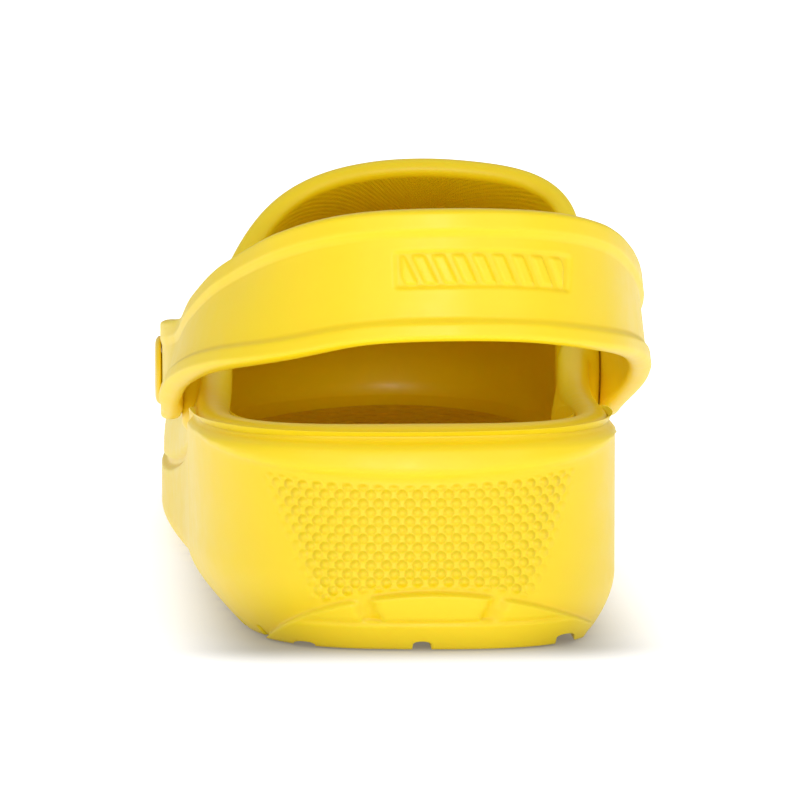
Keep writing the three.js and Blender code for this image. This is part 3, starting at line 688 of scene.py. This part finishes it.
# ---- strap ----------------------------------------------------------------------------------------
def route_curve(count):
    """Points and directions along the strap's middle line: a centripetal Catmull-Rom curve through
    the route, read at places that lie closer together along the back, where the ribs are."""
    points = STRAP_ROUTE * [1, -PIVOT_FROM_HEEL, 1] + [0, PIVOT_Y, PIVOT_Z]
    knots = np.concatenate([[0], np.cumsum(np.linalg.norm(np.diff(points, axis=0), axis=1) ** 0.5)])
    ghost_a = 2 * points[0] - points[1]
    ghost_b = 2 * points[-1] - points[-2]
    full = np.concatenate([[ghost_a], points, [ghost_b]])
    times = np.concatenate([[knots[0] - (knots[1] - knots[0])], knots, [knots[-1] + knots[-1] - knots[-2]]])

    def at(t):
        k = np.clip(np.searchsorted(knots, t, side="right") - 1, 0, len(points) - 2)
        t0, t1, t2, t3 = (times[k + step][:, None] for step in range(4))
        p0, p1, p2, p3 = (full[k + step] for step in range(4))
        t = t[:, None]
        a1 = (t1 - t) / (t1 - t0) * p0 + (t - t0) / (t1 - t0) * p1
        a2 = (t2 - t) / (t2 - t1) * p1 + (t - t1) / (t2 - t1) * p2
        a3 = (t3 - t) / (t3 - t2) * p2 + (t - t2) / (t3 - t2) * p3
        b1 = (t2 - t) / (t2 - t0) * a1 + (t - t0) / (t2 - t0) * a2
        b2 = (t3 - t) / (t3 - t1) * a2 + (t - t1) / (t3 - t1) * a3
        return (t2 - t) / (t2 - t1) * b1 + (t - t1) / (t2 - t1) * b2

    dense_t = np.linspace(knots[0], knots[-1], 6001)
    dense = at(dense_t)
    arc = np.concatenate([[0], np.cumsum(np.linalg.norm(np.diff(dense, axis=0), axis=1))])
    near_ribs = 1 - smooth(np.abs(dense[:, 0] - RIB_MIDDLE), RIB_SPAN / 2 + 1, RIB_SPAN / 2 + 6)
    at_ribs = near_ribs * (dense[:, 1] < -120)
    at_end = 1 - smooth(np.minimum(arc, arc[-1] - arc), 8, 30)
    weight = 1 / mix(1.2, 0.42, np.maximum(at_ribs, at_end))
    run = np.concatenate([[0], np.cumsum((weight[1:] + weight[:-1]) / 2 * np.diff(arc))])
    t = np.interp(np.linspace(0, run[-1], count), run, dense_t)
    step = 1e-3
    point = at(t)
    tangent = unit(at(np.clip(t + step, knots[0], knots[-1])) - at(np.clip(t - step, knots[0], knots[-1])))
    return point, tangent, np.interp(t, dense_t, arc)


RIB_MIDDLE = 14.0
RIB_SPAN = 38.0
RIB_PITCH = 4.2


def strap_section():
    """Places across the band, from the inner face's lower edge up the outer face and back down the
    inner face: share of the half height, and how deep in the thickness (0 outer face, 1 inner)."""
    edge = np.linspace(-np.pi / 2, np.pi / 2, 9)
    outer = np.linspace(-1, 1, 74)
    inner = np.linspace(1, -1, 22)
    lower = np.stack([-1 - 0.0 * edge, 0.5 - 0.5 * np.sin(edge)], -1)
    upper = lower[::-1] * [-1, 1]
    kinds = np.concatenate([np.full(9, 1), np.full(72, 0), np.full(9, 3), np.full(20, 2)])
    h = np.concatenate([lower[:, 0], outer[1:-1], upper[:, 0], inner[1:-1]])
    depth = np.concatenate([lower[:, 1], np.zeros(72), upper[:, 1], np.ones(20)])
    angle = np.concatenate([edge, np.zeros(72), edge[::-1], np.zeros(20)])
    return h, depth, angle, kinds


def band_relief(h, half, x, along, y):
    """Relief of the outer face in millimetres: a rounded bead along each edge, a flat panel between,
    and on the back a sunk field with a row of slanted grip ribs."""
    z = h * half
    low = half - (z + half)
    from_top = half - z
    from_low = z + half
    top_bead = bead(from_top, 5.8, 1.0)
    low_bead = bead(from_low, 4.7, 0.9)
    back = smooth(-y, 20, 70)
    field_x = smooth(RIB_SPAN / 2 - np.abs(x - RIB_MIDDLE), -0.4, 0.9)
    field_z = smooth(3.9 - np.abs(z - 1.2), -0.3, 0.6)
    field = field_x * field_z * (y < -110)
    phase = np.mod((x - RIB_MIDDLE + (z - 1.2) * 0.45) / RIB_PITCH + 0.5, 1.0) - 0.5
    rib = smooth(0.29 - np.abs(phase), -0.06, 0.08) * smooth(3.1 - np.abs(z - 1.2), -0.2, 0.4)
    rib = rib * smooth(RIB_SPAN / 2 - 1.6 - np.abs(x - RIB_MIDDLE), -0.4, 0.4)
    return (top_bead + low_bead) * mix(0.35, 1.0, back) + field * (-0.55 + 0.75 * rib)


def bead(distance, width, height):
    """Rounded bead beside an edge: half-ellipse top that drops to the panel at its width."""
    return height * (1 - smooth(distance, width * 0.72, width * 1.08))


def heel_band():
    """Strap band carried along its route: upright section leaning out at the lower edge, its height
    closing to a half circle round each rivet, with beads, panel and ribs on the outer face."""
    point, tangent, along = route_curve(470)
    out = unit(np.stack([-tangent[:, 1], tangent[:, 0], np.zeros(len(point))], -1))
    level = np.abs(point[:, 1] - PIVOT_Y) <= LOBE_RADIUS + 0.5
    out[level] = np.stack([np.sign(point[level, 0]), np.zeros(level.sum()), np.zeros(level.sum())], -1)
    share = (PIVOT_Y - point[:, 1]) / PIVOT_FROM_HEEL
    arm_lean = mix(ARM_LEAN_LATERAL, ARM_LEAN_MEDIAL, smooth(point[:, 0], -20, 20))
    lean = mix(arm_lean, BACK_LEAN, smooth(share, 0.72, 0.98)) * smooth(share, 0.12, 0.32)
    high = unit(np.cross(tangent, out))
    high = high * np.sign(high[:, 2:3])
    high = unit(high - out * lean[:, None])
    face = unit(out - high * np.sum(out * high, -1, keepdims=True))
    past = np.clip((point[:, 1] - PIVOT_Y) / LOBE_RADIUS, 0, 1)
    arm_half = mix(LOBE_RADIUS, ARM_HALF, smooth(share, 0.05, 0.3))
    full_half = mix(arm_half, STRAP_HEIGHT / 2, smooth(share, 0.4, 0.95))
    half = full_half * np.sqrt(np.clip(1 - past ** 2, 0.0004, 1))
    h, depth, angle, kinds = strap_section()
    round_off = STRAP_THICK / 2 * np.minimum(1, half / 3)[:, None]
    reach = h[None, :] * (half[:, None] - round_off * 0.55)
    edge_out = np.sign(h)[None, :] * np.cos(angle)[None, :] * round_off * 0.55 * (np.isin(kinds, (1, 3)))[None, :]
    z = reach + edge_out
    relief = band_relief(reach / half[:, None], half[:, None], point[:, :1], along[:, None], point[:, 1:2])
    bulge = relief * (1 - depth)[None, :] ** 0.5
    spread = -STRAP_THICK * depth[None, :] + bulge
    grid = point[:, None] + high[:, None] * z[..., None] + face[:, None] * spread[..., None]
    points, quads, ends = swept(grid)
    n = grid.shape[1]
    across = np.concatenate([[0], np.cumsum(np.linalg.norm(np.diff(grid[len(grid) // 2], axis=0), axis=1))])
    uv = np.stack([np.repeat(along[:, None], n, 1), np.repeat(across[None], len(along), 0)], -1).reshape(-1, 2)
    uv = np.concatenate([uv, uv[:1], uv[-1:]])
    corner = np.concatenate([quads.ravel(), ends.ravel()])
    band = make_mesh("heel_band", points, quads, ends, uv[corner] * MM)
    cut_away(band, [pivot_bores()])
    return band


# ---- rivets ---------------------------------------------------------------------------------------
def rivet_cap(name, side, face):
    """Cap on its post: low dome with a pressed ring round its middle."""
    strap_face = side * (face + FIT + STRAP_THICK)
    tip = -(FIT * 2 + STRAP_THICK + PAD_THICK + BACKING_THICK - 0.8)
    top = FIT + CAP_THICK
    profile = [(0, tip), (POST_RADIUS - 0.6, tip), (POST_RADIUS, tip + 0.6), (POST_RADIUS, FIT),
               (CAP_RADIUS - 0.2, FIT), (CAP_RADIUS, FIT + 0.5), (CAP_RADIUS - 0.8, top - 0.25),
               (CAP_RADIUS - 1.8, top), (4.6, top + 0.05), (4.1, top - 0.4), (3.5, top - 0.4), (3.0, top), (0, top + 0.1)]
    return lathe(name, round_profile(profile), side, strap_face)


def rivet_backing(name, side, face):
    """Domed backing with a socket for the post and a shallow dish in its middle."""
    seat = side * (face - PAD_THICK - FIT)
    socket = POST_RADIUS + FIT
    floor = -BACKING_THICK + 0.8 - FIT
    low = -BACKING_THICK
    profile = [(0, low + 0.35), (2.6, low + 0.3), (3.4, low), (BACKING_RADIUS * 0.62, low),
               (BACKING_RADIUS - 0.4, low * 0.62), (BACKING_RADIUS, -0.8), (BACKING_RADIUS, -0.2),
               (BACKING_RADIUS - 0.2, 0), (socket, 0), (socket, floor), (0, floor)]
    return lathe(name, round_profile(profile, 0.18), side, seat)


# ---- materials ------------------------------------------------------------------------------------
def linear(colour):
    """sRGB 0-255 colour as linear values with alpha."""
    c = np.array(colour) / 255.0
    c = np.where(c <= 0.04045, c / 12.92, ((c + 0.055) / 1.055) ** 2.4)
    return (*c.tolist(), 1.0)


class Nodes:
    """Short calls for wiring a node tree."""

    def __init__(self, tree):
        self.tree = tree

    def add(self, kind, **values):
        """New node with its properties set; keys that name an input set that input."""
        node = self.tree.nodes.new(kind)
        for key, value in values.items():
            if key in node.inputs:
                node.inputs[key].default_value = value
            else:
                setattr(node, key, value)
        return node

    def math(self, operation, a, b=None, c=None, clamp=False):
        """Maths node on sockets or numbers."""
        node = self.add("ShaderNodeMath", operation=operation, use_clamp=clamp)
        for index, value in enumerate((a, b, c)):
            if value is None:
                continue
            if isinstance(value, (int, float)):
                node.inputs[index].default_value = value
            else:
                self.tree.links.new(value, node.inputs[index])
        return node.outputs[0]

    def ramp(self, value, low, high, to_low=0.0, to_high=1.0):
        """Smooth map of value from low..high to to_low..to_high."""
        node = self.add("ShaderNodeMapRange", interpolation_type="SMOOTHSTEP")
        self.tree.links.new(value, node.inputs["Value"])
        node.inputs["From Min"].default_value = low
        node.inputs["From Max"].default_value = high
        node.inputs["To Min"].default_value = to_low
        node.inputs["To Max"].default_value = to_high
        return node.outputs["Result"]

    def link(self, a, b):
        """Joins two sockets."""
        self.tree.links.new(a, b)


def new_group(name, inputs, outputs):
    """Shader node group with named float or colour sockets, given as (name, kind, default)."""
    group = bpy.data.node_groups.new(name, "ShaderNodeTree")
    for label, kind, default in inputs:
        socket = group.interface.new_socket(label, in_out="INPUT", socket_type=kind)
        if default is not None:
            socket.default_value = default
    for label, kind in outputs:
        group.interface.new_socket(label, in_out="OUTPUT", socket_type=kind)
    nodes = Nodes(group)
    return group, nodes, nodes.add("NodeGroupInput"), nodes.add("NodeGroupOutput")


def foam_skin_group():
    """Moulded foam skin: slow colour drift, fine pebble height and roughness drift."""
    group, n, ins, outs = new_group("foam_skin", [("Vector", "NodeSocketVector", None), ("Colour", "NodeSocketColor", None),
                                                  ("Drift", "NodeSocketFloat", 0.05)],
                                    [("Colour", "NodeSocketColor"), ("Height", "NodeSocketFloat"), ("Roughness", "NodeSocketFloat")])
    slow = n.add("ShaderNodeTexNoise", Scale=28.0, Detail=3.0, Roughness=0.5)
    pebble = n.add("ShaderNodeTexNoise", Scale=1500.0, Detail=2.0, Roughness=0.6)
    dimple = n.add("ShaderNodeTexNoise", Scale=260.0, Detail=2.0, Roughness=0.5)
    for node in (slow, pebble, dimple):
        n.link(ins.outputs["Vector"], node.inputs["Vector"])
    shade = n.math("MULTIPLY_ADD", n.math("SUBTRACT", slow.outputs["Fac"], 0.5), ins.outputs["Drift"], 1.0)
    colour = n.add("ShaderNodeMix", data_type="RGBA", blend_type="MULTIPLY")
    colour.inputs["Factor"].default_value = 1.0
    n.link(ins.outputs["Colour"], colour.inputs["A"])
    tone = n.add("ShaderNodeCombineColor")
    for channel in ("Red", "Green", "Blue"):
        n.link(shade, tone.inputs[channel])
    n.link(tone.outputs["Color"], colour.inputs["B"])
    n.link(colour.outputs["Result"], outs.inputs["Colour"])
    height = n.math("MULTIPLY_ADD", dimple.outputs["Fac"], 0.45, n.math("MULTIPLY", pebble.outputs["Fac"], 0.35))
    n.link(height, outs.inputs["Height"])
    rough = n.math("MULTIPLY_ADD", n.math("SUBTRACT", dimple.outputs["Fac"], 0.5), 0.16,
                   n.math("MULTIPLY_ADD", n.math("SUBTRACT", slow.outputs["Fac"], 0.5), 0.2, 0.41))
    n.link(rough, outs.inputs["Roughness"])
    return group


def dot_lattice_group():
    """Round domes on a diamond lattice: pitch along a row, rows half a pitch apart. Takes a flat
    vector in metres and gives the dome height, 1 at each middle and 0 outside the dome."""
    group, n, ins, outs = new_group("dot_lattice", [("Vector", "NodeSocketVector", None), ("Pitch", "NodeSocketFloat", 0.0033),
                                                    ("Row Pitch", "NodeSocketFloat", 0.00375), ("Radius", "NodeSocketFloat", 0.00128)],
                                    [("Height", "NodeSocketFloat")])
    parts = n.add("ShaderNodeSeparateXYZ")
    n.link(ins.outputs["Vector"], parts.inputs[0])
    p = n.math("DIVIDE", parts.outputs["X"], ins.outputs["Pitch"])
    q = n.math("DIVIDE", parts.outputs["Y"], ins.outputs["Row Pitch"])
    a, b = n.math("ADD", p, q), n.math("SUBTRACT", p, q)
    da = n.math("SUBTRACT", a, n.math("ROUND", a))
    db = n.math("SUBTRACT", b, n.math("ROUND", b))
    dx = n.math("MULTIPLY", n.math("MULTIPLY", n.math("ADD", da, db), 0.5), ins.outputs["Pitch"])
    dy = n.math("MULTIPLY", n.math("MULTIPLY", n.math("SUBTRACT", da, db), 0.5), ins.outputs["Row Pitch"])
    far = n.math("SQRT", n.math("ADD", n.math("MULTIPLY", dx, dx), n.math("MULTIPLY", dy, dy)))
    share = n.math("DIVIDE", far, ins.outputs["Radius"], clamp=True)
    dome = n.math("SUBTRACT", 1.0, n.math("MULTIPLY", share, share))
    n.link(n.math("POWER", dome, 1.4), outs.inputs["Height"])
    return group


def foam_material(name, colour, drift=0.06, roughness_shift=0.0, subsurface=0.25):
    """Semi-matte moulded foam; returns the material, its node helper and the sockets to add relief to."""
    material = bpy.data.materials.new(name)
    material.use_nodes = True
    n = Nodes(material.node_tree)
    shader = material.node_tree.nodes["Principled BSDF"]
    shader.inputs["Subsurface Weight"].default_value = subsurface
    shader.inputs["Subsurface Radius"].default_value = (0.009, 0.005, 0.0005)
    shader.inputs["Subsurface Scale"].default_value = 1.0
    shader.inputs["Specular IOR Level"].default_value = 0.5
    place = n.add("ShaderNodeTexCoord")
    skin = n.add("ShaderNodeGroup", node_tree=GROUPS["foam_skin"])
    skin.inputs["Colour"].default_value = linear(colour)
    skin.inputs["Drift"].default_value = drift
    n.link(place.outputs["Object"], skin.inputs["Vector"])
    n.link(skin.outputs["Colour"], shader.inputs["Base Color"])
    rough = n.math("ADD", skin.outputs["Roughness"], roughness_shift)
    n.link(rough, shader.inputs["Roughness"])
    fine = n.add("ShaderNodeBump", Strength=0.35, Distance=0.00012)
    n.link(skin.outputs["Height"], fine.inputs["Height"])
    n.link(fine.outputs["Normal"], shader.inputs["Normal"])
    return material, n, shader, place, fine


def body_material():
    """Yellow foam of the body: raised dots round the heel and a finer dotted lining inside the vamp; the inner
    surface is painted a brighter yellow than the outside, painted light that lifts the shaded cavity.
    """
    material, n, shader, place, fine = foam_material("yellow_foam", YELLOW)
    lattice = n.add("ShaderNodeGroup", node_tree=GROUPS["dot_lattice"])
    uv = n.add("ShaderNodeSeparateXYZ")
    n.link(place.outputs["UV"], uv.inputs[0])
    spot = n.add("ShaderNodeSeparateXYZ")
    n.link(place.outputs["Object"], spot.inputs[0])
    flat = n.add("ShaderNodeCombineXYZ")
    n.link(uv.outputs["X"], flat.inputs["X"])
    n.link(spot.outputs["Z"], flat.inputs["Y"])
    n.link(flat.outputs["Vector"], lattice.inputs["Vector"])
    inside = n.add("ShaderNodeAttribute", attribute_name="inside")
    outside = n.math("SUBTRACT", 1.0, inside.outputs["Fac"])
    # Painted light: the inner surface gets a brighter yellow than the outside, standing in for light that the shaded
    # cavity lacks.
    inside_painted_light_mix = n.add("ShaderNodeMix", data_type="RGBA")
    inside_painted_light_mix.inputs["A"].default_value = linear(YELLOW)
    inside_painted_light_mix.inputs["B"].default_value = linear(INSIDE_PAINTED_LIGHT_YELLOW)
    n.link(inside.outputs["Fac"], inside_painted_light_mix.inputs["Factor"])
    n.link(inside_painted_light_mix.outputs["Result"], material.node_tree.nodes["Group"].inputs["Colour"])
    wide = n.math("MULTIPLY_ADD", spot.outputs["Z"], 0.43, 0.0188)
    left = n.ramp(n.math("ADD", wide, uv.outputs["X"]), -0.002, 0.006)
    right = n.ramp(n.math("SUBTRACT", n.math("ADD", wide, 0.002), uv.outputs["X"]), -0.002, 0.005)
    lateral_x = n.math("ADD", spot.outputs["X"], -(SHIFT[0] + 3.0) * MM)
    arch = n.math("SUBTRACT", 0.0135, n.math("MULTIPLY", n.math("MULTIPLY", lateral_x, lateral_x), 6.6))
    low = n.ramp(n.math("SUBTRACT", spot.outputs["Z"], arch), 0.0, 0.0018)
    dip = n.math("MULTIPLY", n.math("POWER", n.math("ABSOLUTE", uv.outputs["X"]), 1.6), 0.47)
    top = n.math("ADD", dip, 0.0362)
    high = n.ramp(n.math("SUBTRACT", spot.outputs["Z"], top), -0.0016, -0.0002, 1.0, 0.0)
    mask = n.math("MULTIPLY", n.math("MULTIPLY", left, right), n.math("MULTIPLY", low, n.math("MULTIPLY", high, outside)))
    dots = n.math("MULTIPLY", lattice.outputs["Height"], mask)
    bump = n.add("ShaderNodeBump", Strength=1.0, Distance=0.0006)
    n.link(dots, bump.inputs["Height"])
    n.link(fine.outputs["Normal"], bump.inputs["Normal"])
    lining = n.add("ShaderNodeGroup", node_tree=GROUPS["dot_lattice"])
    lining.inputs["Pitch"].default_value = 0.0028
    lining.inputs["Row Pitch"].default_value = 0.0028
    lining.inputs["Radius"].default_value = 0.0009
    n.link(place.outputs["UV"], lining.inputs["Vector"])
    lined = n.math("MULTIPLY", lining.outputs["Height"], n.math("MULTIPLY", inside.outputs["Fac"], n.ramp(spot.outputs["Z"], 0.05, 0.062)))
    second = n.add("ShaderNodeBump", Strength=0.8, Distance=0.0003)
    n.link(lined, second.inputs["Height"])
    n.link(bump.outputs["Normal"], second.inputs["Normal"])
    n.link(second.outputs["Normal"], shader.inputs["Normal"])
    return material


def insole_material():
    """Matte foam with rows of small massage nubs."""
    material, n, shader, place, fine = foam_material("insole_foam", (252, 208, 8), roughness_shift=0.2)
    nubs = n.add("ShaderNodeGroup", node_tree=GROUPS["dot_lattice"])
    nubs.inputs["Pitch"].default_value = 0.0064
    nubs.inputs["Row Pitch"].default_value = 0.0072
    nubs.inputs["Radius"].default_value = 0.0017
    n.link(place.outputs["UV"], nubs.inputs["Vector"])
    bump = n.add("ShaderNodeBump", Strength=0.9, Distance=0.0006)
    n.link(nubs.outputs["Height"], bump.inputs["Height"])
    n.link(fine.outputs["Normal"], bump.inputs["Normal"])
    n.link(bump.outputs["Normal"], shader.inputs["Normal"])
    return material


def rivet_material(name, colour, rough):
    """Satin moulded plastic with a faint drift and fine mould grain."""
    material, n, shader, place, fine = foam_material(name, colour, drift=0.08, roughness_shift=rough, subsurface=0.0)
    fine.inputs["Strength"].default_value = 0.2
    shader.inputs["Specular IOR Level"].default_value = 0.5
    return material


def floor_material():
    """Pale floor whose emission is painted light: dim near the clog's footprint as a painted contact shadow, rising
    away from it as a painted glow.
    """
    material = bpy.data.materials.new("pale_floor_painted_shadow_glow")
    material.use_nodes = True
    shader = material.node_tree.nodes["Principled BSDF"]
    shader.inputs["Base Color"].default_value = (0.46, 0.46, 0.47, 1)
    shader.inputs["Emission Color"].default_value = (1, 1, 1, 1)
    n = Nodes(material.node_tree)
    place = n.add("ShaderNodeTexCoord")
    spot = n.add("ShaderNodeSeparateXYZ")
    n.link(place.outputs["Object"], spot.inputs[0])
    aside = n.math("MAXIMUM", n.math("SUBTRACT", n.math("ABSOLUTE", spot.outputs["X"]), 0.03), 0.0)
    along = n.math("MAXIMUM", n.math("SUBTRACT", n.math("ABSOLUTE", spot.outputs["Y"]), 0.13), 0.0)
    away = n.math("SQRT", n.math("ADD", n.math("MULTIPLY", aside, aside), n.math("MULTIPLY", along, along)))
    # Painted shadow and glow: emission is low around the footprint as painted contact shade, and higher further out
    # as painted glow.
    near = n.ramp(away, 0.0, 0.03, 0.12, 0.85)
    n.link(n.math("ADD", near, n.ramp(away, 0.02, 0.35, 0.0, 0.3)), shader.inputs["Emission Strength"])
    shader.inputs["Roughness"].default_value = 0.9
    shader.inputs["Specular IOR Level"].default_value = 0.1
    return material


YELLOW = (247, 214, 8)
# Brighter yellow of the inner surface: painted light that lifts the shaded cavity.
INSIDE_PAINTED_LIGHT_YELLOW = (255, 224, 2)
AMBIENT = 0.56
GROUPS = {"foam_skin": foam_skin_group(), "dot_lattice": dot_lattice_group()}


# ---- stage ----------------------------------------------------------------------------------------
def area_light(name, place, aim, size, power, colour=(1, 1, 1)):
    """Square softbox at place, turned to aim, in metres and watts."""
    lamp = bpy.data.lights.new(name, "AREA")
    lamp.shape = "RECTANGLE"
    lamp.size, lamp.size_y = size
    lamp.energy = power
    lamp.color = colour
    thing = bpy.data.objects.new(name, lamp)
    thing.location = place
    thing.rotation_euler = (Vector(aim) - Vector(place)).to_track_quat("-Z", "Y").to_euler()
    bpy.context.scene.collection.objects.link(thing)
    return thing


def stage_and_lights():
    """Pale floor with painted contact shadow near the clog and painted glow away from it, white surround and soft
    boxes:
    one each side of the camera, one overhead and a low wide one behind the camera."""
    bpy.ops.mesh.primitive_plane_add(size=12, location=(0, 0, -0.0004))
    floor = bpy.context.object
    floor.name = "floor"
    floor.data.materials.append(floor_material())
    world = bpy.data.worlds.new("studio")
    bpy.context.scene.world = world
    world.use_nodes = True
    n = Nodes(world.node_tree)
    path = n.add("ShaderNodeLightPath")
    glow = world.node_tree.nodes["Background"]
    glow.inputs["Color"].default_value = (1, 1, 1, 1)
    n.link(n.math("MULTIPLY_ADD", path.outputs["Is Camera Ray"], 1.0 - AMBIENT, AMBIENT), glow.inputs["Strength"])
    area_light("left_box", (-0.78, -1.25, 0.5), (0, -0.05, 0.05), (0.32, 0.8), 1.4)
    area_light("right_box", (0.85, -1.2, 0.5), (0, -0.05, 0.05), (0.32, 0.8), 1.6)
    area_light("top_box", (0.0, 0.1, 1.2), (0, 0, 0), (0.9, 0.9), 0.6)
    area_light("front_box", (0.0, -1.9, 0.235), (0, 0.04, 0.04), (0.7, 0.1), 6.3)


def camera():
    """Long lens a little above the heel, level with the collar, turned three degrees to the lateral side."""
    az, el, reach = math.radians(-3.0), math.radians(5.6), 1250 * MM
    back = Vector((math.sin(az) * math.cos(el), -math.cos(az) * math.cos(el), math.sin(el)))
    right = Vector((math.cos(az), math.sin(az), 0))
    up = right.cross(-back)
    target = Vector((SHIFT[0], SHIFT[1], 50.0)) * MM
    lens = bpy.data.cameras.new("camera")
    lens.sensor_width = 36
    lens.lens = 236.25
    lens.clip_start, lens.clip_end = 0.05, 60
    thing = bpy.data.objects.new("camera", lens)
    place = target + back * reach
    aim = target + right * (4.29 * MM) - up * (11.43 * MM)
    thing.location = place
    thing.rotation_mode = "QUATERNION"
    thing.rotation_quaternion = (aim - place).to_track_quat("-Z", "Y")
    bpy.context.scene.collection.objects.link(thing)
    bpy.context.scene.camera = thing


# ---- assembly -------------------------------------------------------------------------------------
def finish_piece(piece, material, body, node):
    """Material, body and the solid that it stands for."""
    piece.data.materials.clear()
    piece.data.materials.append(material)
    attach(piece, body)
    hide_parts(node)


camera()
stage_and_lights()
body_foam = body_material()
strap_foam = foam_material("strap_foam", YELLOW)[0]
cap_plastic = rivet_material("rivet_yellow_plastic", (244, 206, 8), -0.1)
backing_plastic = rivet_material("rivet_dark_plastic", (34, 31, 28), 0.0)
finish_piece(clog_body(), body_foam, "clog", "clog_body")
insole = loose_insole()
finish_piece(insole, insole_material(), "clog", "insole")
finish_piece(heel_band(), strap_foam, "strap", "heel_strap")
for label, side, face in (("medial", 1, PAD_MEDIAL), ("lateral", -1, PAD_LATERAL)):
    finish_piece(rivet_cap(f"cap_{label}", side, face), cap_plastic, "clog", f"rivet_cap_{label}")
    finish_piece(rivet_backing(f"backing_{label}", side, face), backing_plastic, "clog", f"rivet_backing_{label}")

bpy.context.scene.view_settings.view_transform = "Standard"
bpy.context.view_layer.update()
